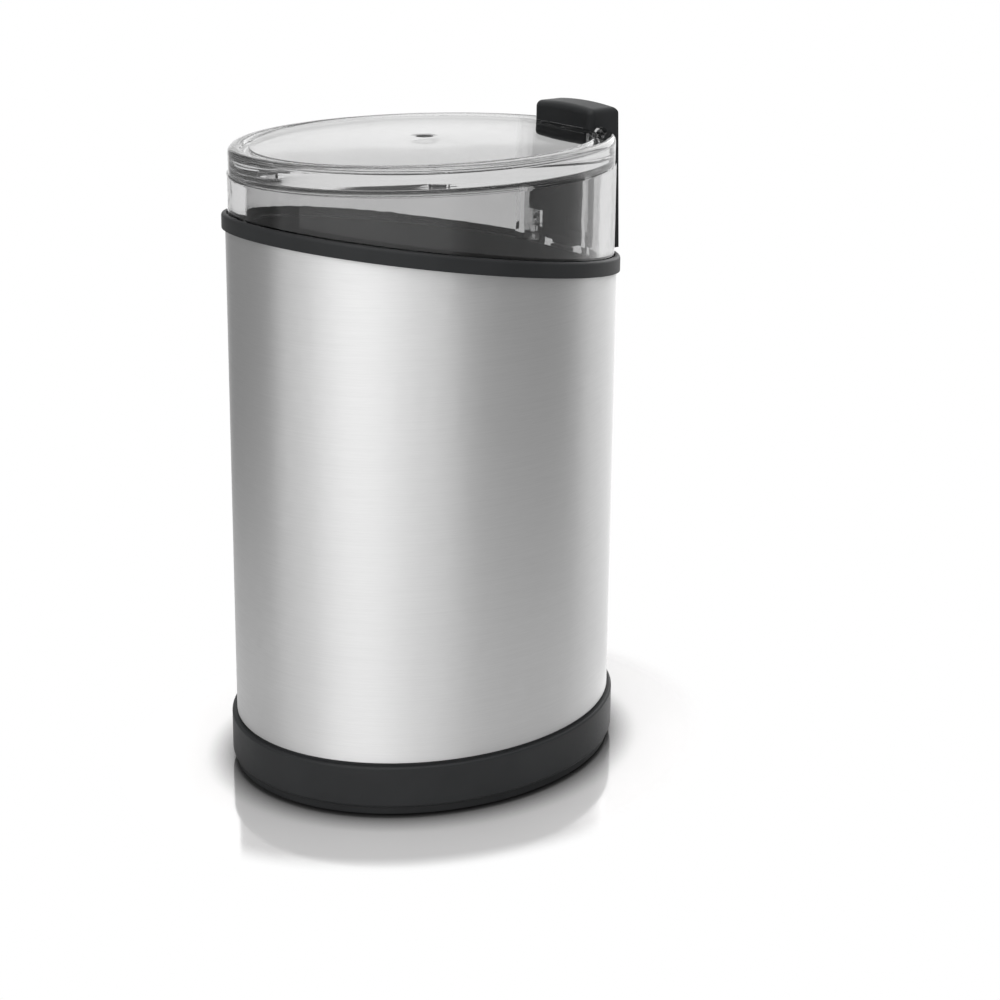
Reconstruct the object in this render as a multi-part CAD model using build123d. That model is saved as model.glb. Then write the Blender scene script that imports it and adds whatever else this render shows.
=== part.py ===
from build123d import *
import math
import os

# Electric coffee grinder: oval steel body, slanted black rim, clear lid with a push button.
# Millimetres and degrees. The origin is on the floor under the middle of the body.
# +X runs along the oval towards the button, -Y is the broad front and +Z is up.
# An offset is measured from the outer face of the sleeve, outwards positive.
# A rim level is the height at the body's axis of a plane that is tilted like the rim.

# Sleeve and trim
SLEEVE_LENGTH = 104.0
SLEEVE_WIDTH = 86.4
SLEEVE_HEIGHT = 119.75
SLEEVE_WALL = 0.6
SLEEVE_TUCK = 1.2
TRIM_PROUD = 1.3
TRIM_ROUND = 0.6
RIM_TILT = 9.1

# Foot
FOOT_DROP = 0.8
FOOT_RADIUS = 5.0
FOOT_SEAT = 1.2
FOOT_ANGLE = 35.6
FOOT_INSET = 3.74
COVER_THICKNESS = 2.0
COVER_PROUD = 0.3
COVER_SCREW_ANGLE = 63.85
COVER_SCREW_INSET = 4.86
COVER_SCREW_RADIUS = 1.6
COVER_SCREW_LENGTH = 9.0
COVER_HEAD_RADIUS = 3.2
COVER_HEAD_HEIGHT = 1.4
VENT_COUNT = 5
VENT_LENGTH = 22.0
VENT_WIDTH = 2.4
VENT_PITCH = 5.6
BASE_RING_HEIGHT = 10.8
BASE_FLANGE_WIDTH = 13.4
BASE_FLANGE_THICKNESS = 2.2
BASE_ROUND = 0.8
SHADOW_GAP = 0.7
SHADOW_INSET = 0.15

# Cord gland and terminal block
GLAND_RADIUS = 3.9
GLAND_BORE_RADIUS = 3.1
GLAND_FLANGE_RADIUS = 4.2
GLAND_FLANGE_LENGTH = 2.0
GLAND_LENGTH = 8.0
GLAND_SINK = 0.2
TERMINAL_LENGTH = 16.0
TERMINAL_WIDTH = 7.0
TERMINAL_HEIGHT = 9.0
TERMINAL_SCREW_RADIUS = 1.5
TERMINAL_SCREW_DEPTH = 2.5
TERMINAL_PITCH = 5.0
TERMINAL_GAP = 1.2

# Chassis
CHASSIS_GAP = 0.3
CHASSIS_WALL = 2.2
SHELF_THICKNESS = 3.0
DECK_THICKNESS = 3.0
DECK_HOLE_RADIUS = 12.0
BOSS_RADIUS = 4.5
BOSS_CAP = 1.5

# Rim collar
LIP_HEIGHT = 3.9
LIP_PROUD = 0.9
LIP_ROUND = 0.8
LEDGE_DROP = 2.0
LEDGE_THICKNESS = 2.5
MOUTH_INSET = 6.0
SKIRT_GAP = 0.4
SILL_THICKNESS = 2.4
SILL_WALL = 2.0

# Bowl
BOWL_DROP = 17.0
BOWL_WALL = 0.8
BOWL_TAPER = 8.0
BOWL_ROUND = 4.0
BOWL_HUB_RADIUS = 10.0
BOWL_HUB_RISE = 3.0
GASKET_THICKNESS = 0.8
SEAL_RADIUS = 6.0

# Lid
LID_HEIGHT = 25.8
LID_INSET = 0.65
LID_WALL = 4.0
LID_ROUND = 1.6
LID_RIM_WIDTH = 3.6
LID_RIM_HEIGHT = 6.8
LID_RIM_SETBACK = 0.3
GROOVE_WIDTH = 1.6
GROOVE_DEPTH = 1.0
PANEL_DROP = 0.4
PANEL_DOME = 0.9
PANEL_ROUND = 0.3
PANEL_THICKNESS = 5.5
PANEL_CORNER = 2.0
DISH_RADIUS = 3.5
DISH_DEPTH = 0.12
DIMPLE_RADIUS = 2.1
DIMPLE_DEPTH = 0.7
WELL_WALL = 2.4
WELL_GAP = 0.35

# Button
BUTTON_WIDTH = 23.0
BUTTON_DEPTH = 8.0
BUTTON_RISE = 5.2
BUTTON_TRAVEL = 3.5
BUTTON_ROUND = 1.7
BUTTON_EDGE_ROUND = 1.9
BUTTON_CROWN = 0.7
BUTTON_WALL = 1.5
BUTTON_CEILING_DROP = 3.3
TONGUE_WALL = 1.8
TONGUE_PROUD = 1.5
TONGUE_FLARE = 2.8
LEG_WIDTH = 9.4
LEG_RISE = 3.3
LUG_WIDTH = 8.0
LUG_HEIGHT = 1.5
LUG_SETBACK = 0.6
SPRING_BAR_THICKNESS = 2.0
SKIRT_LIFT = 1.5

# Springs
BUTTON_SPRING_GAP = 0.4
BUTTON_SPRING_WIRE = 0.5
BUTTON_SPRING_TURNS = 10
PUSHROD_SPRING_RADIUS = 1.9
PUSHROD_SPRING_WIRE = 0.5
PUSHROD_SPRING_TURNS = 6
BRUSH_SPRING_RADIUS = 1.7
BRUSH_SPRING_WIRE = 0.4
BRUSH_SPRING_TURNS = 5

# Pushrod
PUSHROD_THICKNESS = 1.6
PUSHROD_WIDTH = 8.0
PUSHROD_FOOT_THICKNESS = 2.5
PUSHROD_FOOT_GAP = 1.2
STEM_RADIUS = 1.2
CUP_WALL = 1.4
CUP_FLOOR = 1.4
CUP_DEPTH = 4.0

# Switch
SWITCH_LENGTH = 20.0
SWITCH_WIDTH = 6.4
SWITCH_HEIGHT = 10.0
SWITCH_DROP = 10.5
SWITCH_PAD_WIDTH = 14.0
SWITCH_SCREW_RADIUS = 1.1
SWITCH_SCREW_SPACING = 9.5
SWITCH_SCREW_RISE = 2.6
SWITCH_SCREW_LENGTH = 8.0
SWITCH_HEAD_RADIUS = 2.0
SWITCH_HEAD_HEIGHT = 1.2
PIVOT_RISE = 2.5
PIVOT_INSET = 1.0
LEVER_REACH = 14.0
LEVER_TAIL = 1.5
LEVER_THICKNESS = 0.5
LEVER_REST_ANGLE = 8.0
BARREL_RADIUS = 1.1
PIN_RADIUS = 0.6
EAR_THICKNESS = 1.0
EAR_RISE = 1.2
PLUNGER_REACH = 5.0
PLUNGER_RADIUS = 1.2
PLUNGER_SINK = 3.0
TAB_WIDTH = 3.0
TAB_THICKNESS = 0.8
TAB_LENGTH = 5.0
TAB_PITCH = 7.0

# Motor
DECK_DROP = 10.0
DAMPER_HEIGHT = 7.5
DAMPER_RADIUS = 5.5
DECK_SCREW_SPACING_X = 24.0
DECK_SCREW_INSET = 4.0
DECK_SCREW_RADIUS = 1.9
DECK_HEAD_RADIUS = 3.6
DECK_HEAD_HEIGHT = 2.2
BRACKET_THICKNESS = 3.0
BRACKET_LIFT = 7.5
BRACKET_WINDOW_LENGTH = 9.0
BRACKET_WINDOW_WIDTH = 26.0
HUB_RADIUS = 9.0
HUB_RISE = 4.0
BEARING_RADIUS = 6.0
BRUSH_SPACE = 14.0
STATOR_LENGTH = 60.0
STATOR_WIDTH = 52.0
STATOR_HEIGHT = 22.0
STATOR_ROUND = 7.0
WINDOW_ROUND = 3.0
YOKE = 6.0
SHOE_THICKNESS = 3.0
SHOE_HALF_ANGLE = 52.0
COIL_BUILD = 6.0
COIL_ROUND = 3.0
COIL_GAP = 0.3
COIL_CLEARANCE = 3.7
BOLT_INSET = 5.0
BOLT_RADIUS = 1.9
BOLT_HEAD_RADIUS = 3.4
BOLT_HEAD_HEIGHT = 2.6
PILLAR_RADIUS = 3.8

# Rotor
SHAFT_RADIUS = 3.0
SHAFT_END = 2.0
SHAFT_FLOOR_GAP = 8.25
SHOULDER_RADIUS = 5.0
SHOULDER_GAP = 0.5
ARMATURE_RADIUS = 16.0
AIR_GAP = 0.6
SLOT_COUNT = 12
SLOT_DEPTH = 6.0
SLOT_WIDTH = 3.0
SLOT_MOUTH = 1.5
TOOTH_TIP = 1.5
WINDING_RADIUS = 13.8
WINDING_OVERHANG = 5.5
WINDING_ROUND = 2.0
COMMUTATOR_RADIUS = 9.0
COMMUTATOR_LENGTH = 9.0
SEGMENT_GAP = 0.5
SEGMENT_DEPTH = 1.0
WASHER_RADIUS = 5.0
WASHER_THICKNESS = 1.0
BLADE_LIFT = 1.6
BLADE_RADIUS = 27.0
BLADE_WIDTH = 11.0
BLADE_THICKNESS = 1.6
BLADE_FLAT = 9.0
BLADE_BEND = 16.0
BLADE_EDGE = 1.0
NUT_WIDTH = 11.0
NUT_HEIGHT = 4.0
NUT_DOME = 2.0

# Brushes
BRUSH_RISE = 7.0
BRUSH_WIDTH = 5.0
BRUSH_HEIGHT = 6.0
BRUSH_LENGTH_SHARE = 0.6
HOLDER_WALL = 1.0
HOLDER_SETBACK = 14.6
HOLDER_GAP = 1.5
CAP_THICKNESS = 1.6
CAP_PLUG = 1.4

# Lead wires
LEAD_RADIUS = 0.8
LEAD_BEND_SHARE = 0.3
LEAD_CORNER_SHARE = 0.75
LEAD_LOOP = 6.0

# Clearances
SEAT_GAP = 0.05
RUNNING_GAP = 0.05
SLIDE_GAP = 0.3
PIN_GAP = 0.03
OVERRUN = 1.0

# Semi-axes, tilt and offsets that follow from the sizes above
half_length = SLEEVE_LENGTH / 2
half_width = SLEEVE_WIDTH / 2
rim_slope = math.tan(math.radians(RIM_TILT))
reach = SLEEVE_LENGTH + SLEEVE_WIDTH
chassis_out = -(SLEEVE_WALL + CHASSIS_GAP)
chassis_in = chassis_out - CHASSIS_WALL
lid_out = -LID_INSET
lid_in = lid_out - LID_WALL
lid_rim_out = lid_out - LID_RIM_SETBACK
lid_rim_in = lid_rim_out - LID_RIM_WIDTH
panel_out = lid_rim_in - GROOVE_WIDTH
lip_in = lid_out + SLIDE_GAP
mouth = -MOUTH_INSET
skirt_out = chassis_in - SKIRT_GAP
bowl_rim_out = mouth + BOWL_WALL
base_ring_in = chassis_out + SLIDE_GAP
base_flange_in = base_ring_in - BASE_FLANGE_WIDTH

# Heights
cover_top = FOOT_DROP + COVER_THICKNESS
base_flange_top = cover_top + BASE_FLANGE_THICKNESS
pilot_top = FOOT_DROP + COVER_HEAD_HEIGHT + COVER_SCREW_LENGTH + SLIDE_GAP
boss_top = pilot_top + BOSS_CAP
base_ring_top = cover_top + BASE_RING_HEIGHT
sleeve_bottom = base_ring_top + SHADOW_GAP
lip_bottom = sleeve_bottom + SLEEVE_HEIGHT
lip_top = lip_bottom + LIP_HEIGHT
ledge = lip_top - LEDGE_DROP
ledge_under = ledge - LEDGE_THICKNESS
sleeve_top = lip_bottom + SLEEVE_TUCK
lid_top = ledge + LID_HEIGHT
lid_shoulder = lid_top - LID_RIM_HEIGHT
groove_floor = lid_top - GROOVE_DEPTH
panel_peak = lid_top - PANEL_DROP + PANEL_DOME
button_top = lid_top + BUTTON_RISE
bowl_seat = lip_bottom - BOWL_DROP
flange_top = bowl_seat + BOWL_WALL
skirt_bottom = flange_top + GASKET_THICKNESS
shaft_bottom = cover_top + SHAFT_FLOOR_GAP
lower_hub_bottom = shaft_bottom + SHAFT_END
lower_bracket_bottom = lower_hub_bottom + HUB_RISE
lower_bracket_top = lower_bracket_bottom + BRACKET_THICKNESS
brush_z = lower_bracket_top + BRUSH_RISE
stator_bottom = lower_bracket_top + BRUSH_SPACE
stator_top = stator_bottom + STATOR_HEIGHT
stator_middle = (stator_top + stator_bottom) / 2
upper_bracket_bottom = stator_top + BRACKET_LIFT
upper_bracket_top = upper_bracket_bottom + BRACKET_THICKNESS
upper_hub_top = upper_bracket_top + HUB_RISE
deck_bottom = upper_bracket_top + DAMPER_HEIGHT
deck_top = deck_bottom + DECK_THICKNESS
bowl_bottom = deck_top + DECK_DROP
bowl_floor = bowl_bottom + BOWL_WALL
bowl_hub_top = bowl_floor + BOWL_HUB_RISE
commutator_bottom = brush_z - COMMUTATOR_LENGTH / 2
commutator_top = commutator_bottom + COMMUTATOR_LENGTH
blade_bottom = bowl_hub_top + BLADE_LIFT
blade_top = blade_bottom + BLADE_THICKNESS
nut_top = blade_top + NUT_HEIGHT


def wall_inside(y):
    """X of the chassis wall's inner face at the button end, at a distance from the middle plane."""
    share = y / (half_width + chassis_in)
    return (half_length + chassis_in) * math.sqrt(1 - share ** 2)


def wall_along(angle):
    """Distance from the axis to the chassis wall's inner face, in a direction given in radians."""
    x_rate = math.cos(angle) / (half_length + chassis_in)
    y_rate = math.sin(angle) / (half_width + chassis_in)
    return 1 / math.hypot(x_rate, y_rate)


# Button end: the notch in the collar, the button and the pushrod under it
notch_floor = lip_bottom - rim_slope * (half_length + TRIM_PROUD)
sill_bottom = notch_floor - SILL_THICKNESS
tongue_bottom = notch_floor + BUTTON_TRAVEL + SLIDE_GAP
button_half = BUTTON_WIDTH / 2
well_half = button_half + WELL_GAP
sill_half = well_half + SILL_WALL
button_front = half_length - BUTTON_DEPTH
well_front = button_front - WELL_GAP
partition_front = well_front - WELL_WALL
partition_half = well_half + WELL_WALL
tongue_in = half_length - TONGUE_WALL
bar_bottom = tongue_bottom + LUG_HEIGHT + SLIDE_GAP
bar_top = bar_bottom + SPRING_BAR_THICKNESS
bar_front = button_front + BUTTON_WALL + WELL_GAP
bar_back = tongue_in - WELL_GAP
button_skirt = bar_top + BUTTON_TRAVEL + SKIRT_LIFT
button_ceiling = lid_top - BUTTON_CEILING_DROP
spring_x = (button_front + BUTTON_WALL + tongue_in) / 2
spring_room = (tongue_in - button_front - BUTTON_WALL) / 2
button_spring_radius = spring_room - BUTTON_SPRING_WIRE / 2 - BUTTON_SPRING_GAP
pushrod_out = wall_inside(PUSHROD_WIDTH / 2) - SLIDE_GAP
pushrod_in = pushrod_out - PUSHROD_THICKNESS
pushrod_top = tongue_bottom - SLIDE_GAP
slot_in = pushrod_in - SLIDE_GAP / 2
slot_half = PUSHROD_WIDTH / 2 + SLIDE_GAP / 2
foot_top = bowl_bottom - PUSHROD_FOOT_GAP
foot_bottom = foot_top - PUSHROD_FOOT_THICKNESS

# Switch, which stands against the chassis wall under the pushrod
switch_out = wall_inside(SWITCH_LENGTH / 2) - SLIDE_GAP
switch_in = switch_out - SWITCH_WIDTH
switch_x = (switch_out + switch_in) / 2
switch_top = deck_bottom - SWITCH_DROP
switch_bottom = switch_top - SWITCH_HEIGHT
pivot_y = PIVOT_INSET - SWITCH_LENGTH / 2
pivot_z = switch_top + PIVOT_RISE
stem_y = pivot_y + LEVER_REACH
plunger_y = pivot_y + PLUNGER_REACH
lever_slope = math.tan(math.radians(LEVER_REST_ANGLE))
lever_half = LEVER_THICKNESS / 2 / math.cos(math.radians(LEVER_REST_ANGLE))
stem_bottom = pivot_z + lever_slope * (LEVER_REACH + STEM_RADIUS) + lever_half + SLIDE_GAP
plunger_top = pivot_z + lever_slope * (PLUNGER_REACH - PLUNGER_RADIUS) - lever_half - SLIDE_GAP / 2
plunger_travel = BUTTON_TRAVEL * PLUNGER_REACH / LEVER_REACH
cup_floor = deck_bottom - CUP_DEPTH + CUP_FLOOR
cup_radius = PUSHROD_SPRING_RADIUS + PUSHROD_SPRING_WIRE / 2 + SLIDE_GAP

# Motor sizes in plan
bore_radius = ARMATURE_RADIUS + AIR_GAP
shoe_radius = bore_radius + SHOE_THICKNESS
coil_in = shoe_radius + COIL_GAP
coil_out = STATOR_LENGTH / 2 - YOKE - COIL_GAP
pole_width = STATOR_WIDTH - 2 * (YOKE + COIL_CLEARANCE + COIL_BUILD + COIL_GAP)
bolt_x = STATOR_LENGTH / 2 - BOLT_INSET
bolt_y = STATOR_WIDTH / 2 - BOLT_INSET
deck_screw_x = DECK_SCREW_SPACING_X / 2
deck_screw_y = STATOR_WIDTH / 2 - DECK_SCREW_INSET
holder_start = COMMUTATOR_RADIUS + HOLDER_GAP
holder_end = half_width + chassis_in - HOLDER_SETBACK
brush_start = COMMUTATOR_RADIUS + RUNNING_GAP
brush_end = brush_start + BRUSH_LENGTH_SHARE * (holder_end - holder_start)
cap_face = holder_end - CAP_PLUG
gland_z = (base_flange_top + base_ring_top) / 2
gland_out = half_width + TRIM_PROUD - GLAND_SINK
gland_in = gland_out - GLAND_LENGTH
terminal_y = gland_in - TERMINAL_GAP - TERMINAL_WIDTH / 2


def oval(offset):
    """Oval outline at an offset from the sleeve's outer face."""
    return Ellipse(half_length + offset, half_width + offset)


def oval_prism(offset, low, high):
    return Pos(0, 0, low) * extrude(oval(offset), high - low)


def oval_tube(outer, inner, low, high):
    return oval_prism(outer, low, high) - oval_prism(inner, low - OVERRUN, high + OVERRUN)


def rim_plane(level):
    """Plane tilted like the rim, at a height given on the body's axis."""
    return Plane(origin=(0, 0, level), z_dir=(rim_slope, 0, 1))


def below(shape, level):
    return split(shape, bisect_by=rim_plane(level), keep=Keep.BOTTOM)


def above(shape, level):
    return split(shape, bisect_by=rim_plane(level), keep=Keep.TOP)


def tilted_tube(outer, inner, low, high):
    """Oval tube between two planes tilted like the rim."""
    spare = rim_slope * reach
    return above(below(oval_tube(outer, inner, low - spare, high + spare), high), low)


def block(x_low, x_high, y_low, y_high, z_low, z_high):
    """Box between two corners."""
    size = Box(x_high - x_low, y_high - y_low, z_high - z_low)
    return Pos((x_low + x_high) / 2, (y_low + y_high) / 2, (z_low + z_high) / 2) * size


def rod(radius, low, high, x=0, y=0):
    """Upright cylinder between two heights."""
    return Pos(x, y, (low + high) / 2) * Cylinder(radius, high - low)


def tube(outer, inner, low, high, x=0, y=0):
    return rod(outer, low, high, x, y) - rod(inner, low - OVERRUN, high + OVERRUN, x, y)


def rod_along_x(radius, low, high, y, z):
    return Pos((low + high) / 2, y, z) * Rot(0, 90, 0) * Cylinder(radius, high - low)


def rod_along_y(radius, low, high, x, z):
    return Pos(x, (low + high) / 2, z) * Rot(90, 0, 0) * Cylinder(radius, high - low)


def corners(x, y):
    return [(x, y), (-x, y), (-x, -y), (x, -y)]


def on_corners(shape, x, y):
    """Copies of a shape on the four corners of a rectangle."""
    return Part() + [Pos(px, py, 0) * shape for px, py in corners(x, y)]


def both_sides(shape):
    """A shape and its copy turned half round the upright axis."""
    return Part() + [shape, Rot(0, 0, 180) * shape]


def around(shape, count):
    return Part() + [Rot(0, 0, 360 * index / count) * shape for index in range(count)]


def upper_edges(shape):
    """Curved edges that lie highest, judged by the middle of each edge's box."""
    curved = [edge for edge in shape.edges() if edge.geom_type != GeomType.LINE]
    top = max(edge.bounding_box().center().Z for edge in curved)
    return [edge for edge in curved if edge.bounding_box().center().Z > top - SEAT_GAP]


def longest(edges):
    return max(edges, key=lambda edge: edge.length)


def coil_spring(radius, wire, turns, length, name):
    """Helical spring that stands on z = 0, with the least gap between its turns printed."""
    rise = length - wire
    path = Helix(rise / turns, rise, radius)
    profile = Plane(path @ 0, z_dir=path % 0) * Circle(wire / 2)
    steps = 24
    points = [path @ (index / (turns * steps)) for index in range(turns * steps + 1)]
    pairs = [(a, b) for i, a in enumerate(points) for b in points[i + steps // 2:]]
    gap = min((a - b).length for a, b in pairs) - wire
    print(f"{name}: least gap between turns {gap:.2f} mm")
    return Pos(0, 0, wire / 2) * sweep(profile, path, is_frenet=True)


def inside_wall(angle, inset):
    """X and Y of a place that is set in from the chassis wall's inner face, in a direction in degrees."""
    turn = math.radians(angle)
    distance = wall_along(turn) - inset
    return distance * math.cos(turn), distance * math.sin(turn)


def cover_screw_places():
    return inside_wall(COVER_SCREW_ANGLE, COVER_SCREW_INSET)


def foot_places():
    return inside_wall(FOOT_ANGLE, FOOT_INSET)


def outer_sleeve():
    skin = below(oval_tube(0, -SLEEVE_WALL, sleeve_bottom, lip_top + rim_slope * reach), sleeve_top)
    return skin - button_recess(sill_half + SLIDE_GAP)


def button_recess(half):
    """Room at the button end for the sill of the collar."""
    return block(0, reach, -half, half, sill_bottom, lip_top + reach)


def rim_collar():
    lip = tilted_tube(LIP_PROUD, lip_in, lip_bottom, lip_top)
    lip = fillet(longest(upper_edges(lip)), LIP_ROUND)
    plate = tilted_tube(lip_in + SLIDE_GAP, mouth, ledge_under, ledge)
    spare = rim_slope * reach
    skirt = below(oval_tube(skirt_out, mouth, skirt_bottom, ledge + spare), ledge)
    groove = tilted_tube(CHASSIS_GAP / 2, chassis_out, lip_bottom - OVERRUN, sleeve_top)
    ring = lip + plate + skirt - groove
    sill = oval_prism(LIP_PROUD, sill_bottom, notch_floor) - oval_prism(mouth, 0, button_top)
    sill = sill & block(slot_in - SILL_WALL, reach, -sill_half, sill_half, sill_bottom, notch_floor)
    cheeks = tilted_tube(LIP_PROUD, mouth, ledge_under, ledge) & block(
        slot_in, reach, -sill_half, sill_half, sill_bottom, ledge + spare)
    notch = block(slot_in, reach, -well_half, well_half, notch_floor, lip_top + reach)
    slot = block(slot_in, pushrod_out + SLIDE_GAP, -slot_half, slot_half, 0, notch_floor + OVERRUN)
    return ring + sill + cheeks - notch - slot


def chassis():
    x, y = cover_screw_places()
    spare = rim_slope * reach
    wall = below(oval_tube(chassis_out, chassis_in, base_flange_top, ledge + spare), ledge_under)
    sleeve_step = oval_tube(-SHADOW_INSET, chassis_in, base_ring_top, sleeve_bottom)
    shelf_in = bowl_rim_out + SLIDE_GAP
    shelf = oval_tube(chassis_out, shelf_in, bowl_seat - SHELF_THICKNESS, bowl_seat)
    deck = oval_prism(chassis_out, deck_bottom, deck_top)
    boss = rod(BOSS_RADIUS, base_flange_top, boss_top)
    rib = block(-BOSS_RADIUS / 2, BOSS_RADIUS / 2, 0, reach, base_flange_top, boss_top)
    posts = on_corners(boss, x, y)
    ribs = Part() + [Pos(px, 0, 0) * Rot(0, 0, 0 if py > 0 else 180) * Pos(0, y, 0) * rib
                     for px, py in corners(x, y)]
    posts = (posts + ribs) & oval_prism(chassis_out, base_flange_top, boss_top)
    pad = block(switch_out, reach, -SWITCH_PAD_WIDTH / 2, SWITCH_PAD_WIDTH / 2, switch_bottom, switch_top)
    pad = pad & oval_prism(chassis_out, switch_bottom, switch_top)
    cup = rod(cup_radius + CUP_WALL, deck_bottom - CUP_DEPTH, deck_top, switch_x, stem_y)
    body = wall + sleeve_step + shelf + deck + posts + pad + cup
    body -= rod(DECK_HOLE_RADIUS, deck_bottom - OVERRUN, deck_top + OVERRUN)
    body -= rod(cup_radius, cup_floor, deck_top + OVERRUN, switch_x, stem_y)
    body -= rod(STEM_RADIUS + SLIDE_GAP, 0, deck_top, switch_x, stem_y)
    body -= block(slot_in, pushrod_out + SLIDE_GAP, -slot_half, slot_half, deck_top, reach)
    deck_holes = rod(DECK_SCREW_RADIUS + SEAT_GAP, deck_bottom - OVERRUN, deck_top + OVERRUN)
    body -= on_corners(deck_holes, deck_screw_x, deck_screw_y)
    pilot = rod(COVER_SCREW_RADIUS + SEAT_GAP, 0, pilot_top)
    body -= on_corners(pilot, x, y)
    gland_half = GLAND_FLANGE_RADIUS + SLIDE_GAP
    body -= block(-gland_half, gland_half, 0, reach, 0, base_ring_top)
    body -= switch_screw_holes()
    body -= button_recess(sill_half + SLIDE_GAP)
    return body


def switch_screw_places():
    z = switch_bottom + SWITCH_SCREW_RISE
    return [(-SWITCH_SCREW_SPACING / 2, z), (SWITCH_SCREW_SPACING / 2, z)]


def switch_screw_holes():
    low = switch_in - OVERRUN
    high = switch_in + SWITCH_SCREW_LENGTH
    return Part() + [rod_along_x(SWITCH_SCREW_RADIUS + SEAT_GAP, low, high, y, z)
                     for y, z in switch_screw_places()]


def base_ring():
    wall = oval_tube(TRIM_PROUD, base_ring_in, cover_top, base_ring_top)
    rims = sorted(upper_edges(wall), key=lambda edge: edge.length)
    wall = fillet(rims[-1], TRIM_ROUND)
    lower = [edge for edge in wall.edges().group_by(Axis.Z)[0] if edge.geom_type != GeomType.LINE]
    wall = fillet(longest(lower), BASE_ROUND)
    flange = oval_tube(base_ring_in, base_flange_in, cover_top, base_flange_top)
    hole = rod_along_y(GLAND_RADIUS + SEAT_GAP, half_width / 2, reach, 0, gland_z)
    x, y = cover_screw_places()
    passages = on_corners(rod(COVER_SCREW_RADIUS + SLIDE_GAP, 0, base_ring_top), x, y)
    return wall + flange - hole - passages


def bottom_cover():
    plate = oval_prism(COVER_PROUD, FOOT_DROP, cover_top)
    x, y = foot_places()
    plate -= on_corners(rod(FOOT_RADIUS + SEAT_GAP, 0, FOOT_DROP + FOOT_SEAT), x, y)
    x, y = cover_screw_places()
    plate -= on_corners(rod(COVER_SCREW_RADIUS + SLIDE_GAP, 0, base_ring_top), x, y)
    plate -= on_corners(rod(COVER_HEAD_RADIUS + SLIDE_GAP, 0, FOOT_DROP + COVER_HEAD_HEIGHT), x, y)
    vent = Pos(0, 0, FOOT_DROP - OVERRUN) * extrude(
        SlotOverall(VENT_LENGTH, VENT_WIDTH), COVER_THICKNESS + 2 * OVERRUN)
    first = -VENT_PITCH * (VENT_COUNT - 1) / 2
    return plate - [Pos(0, first + VENT_PITCH * index, 0) * vent for index in range(VENT_COUNT)]


def rubber_feet():
    x, y = foot_places()
    foot = rod(FOOT_RADIUS, 0, FOOT_DROP + FOOT_SEAT)
    foot = fillet(foot.edges().group_by(Axis.Z)[0], FOOT_DROP / 2)
    return on_corners(foot, x, y)


def cover_screws():
    x, y = cover_screw_places()
    seat = FOOT_DROP + COVER_HEAD_HEIGHT
    head = rod(COVER_HEAD_RADIUS, FOOT_DROP, seat)
    cross = block(-COVER_HEAD_RADIUS / 2, COVER_HEAD_RADIUS / 2, -SLIDE_GAP, SLIDE_GAP,
                  FOOT_DROP - OVERRUN, FOOT_DROP + COVER_HEAD_HEIGHT / 2)
    head -= cross + Rot(0, 0, 90) * cross
    return on_corners(head + rod(COVER_SCREW_RADIUS, seat, seat + COVER_SCREW_LENGTH), x, y)


def cord_gland():
    body = rod_along_y(GLAND_RADIUS, gland_in, gland_out, 0, gland_z)
    flange_out = half_width + base_ring_in - SLIDE_GAP
    body += rod_along_y(GLAND_FLANGE_RADIUS, flange_out - GLAND_FLANGE_LENGTH, flange_out, 0, gland_z)
    return body - rod_along_y(GLAND_BORE_RADIUS, gland_in - OVERRUN, gland_out + OVERRUN, 0, gland_z)


def terminal_block():
    half = TERMINAL_LENGTH / 2
    top = base_flange_top + TERMINAL_HEIGHT
    body = block(-half, half, terminal_y - TERMINAL_WIDTH / 2, terminal_y + TERMINAL_WIDTH / 2,
                 base_flange_top, top)
    dip = rod(TERMINAL_SCREW_RADIUS, top - TERMINAL_SCREW_DEPTH, top + OVERRUN, 0, terminal_y)
    return body - [Pos(side * TERMINAL_PITCH / 2, 0, 0) * dip for side in (-1, 1)]


def bowl_form(rim_offset, low, high):
    """Tapered oval cup, solid, with rounded lower edge."""
    floor = Pos(0, 0, low) * oval(rim_offset - BOWL_TAPER)
    cup = loft([floor, Pos(0, 0, high) * oval(rim_offset)], ruled=True)
    return fillet(longest(cup.edges().group_by(Axis.Z)[0]), BOWL_ROUND)


def grinding_bowl():
    cup = bowl_form(bowl_rim_out, bowl_bottom, bowl_seat)
    flange = oval_prism(chassis_in - SLIDE_GAP, bowl_seat, flange_top)
    hollow = bowl_form(mouth, bowl_floor, flange_top)
    hub = rod(BOWL_HUB_RADIUS, bowl_bottom, bowl_hub_top)
    shell = cup + flange - hollow + hub
    shell -= rod(SEAL_RADIUS + SEAT_GAP, bowl_bottom - OVERRUN, bowl_hub_top + OVERRUN)
    return shell - block(slot_in, reach, -slot_half, slot_half, deck_top, reach)


def bowl_gasket():
    ring = oval_tube(skirt_out, mouth, flange_top, skirt_bottom)
    return ring - block(slot_in, reach, -slot_half, slot_half, deck_top, reach)


def shaft_seal():
    return tube(SEAL_RADIUS, SHAFT_RADIUS + RUNNING_GAP, bowl_bottom, bowl_hub_top)


def cap_radius(half_chord, rise):
    """Radius of the ball that has a cap of this half width and height."""
    return (half_chord ** 2 + rise ** 2) / (2 * rise)


def panel_sphere(drop):
    """Ball whose top makes the domed panel of the lid, or its underside."""
    radius = cap_radius(half_length + panel_out, PANEL_DOME)
    return Pos(0, 0, panel_peak - radius) * Sphere(radius - drop)


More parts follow.
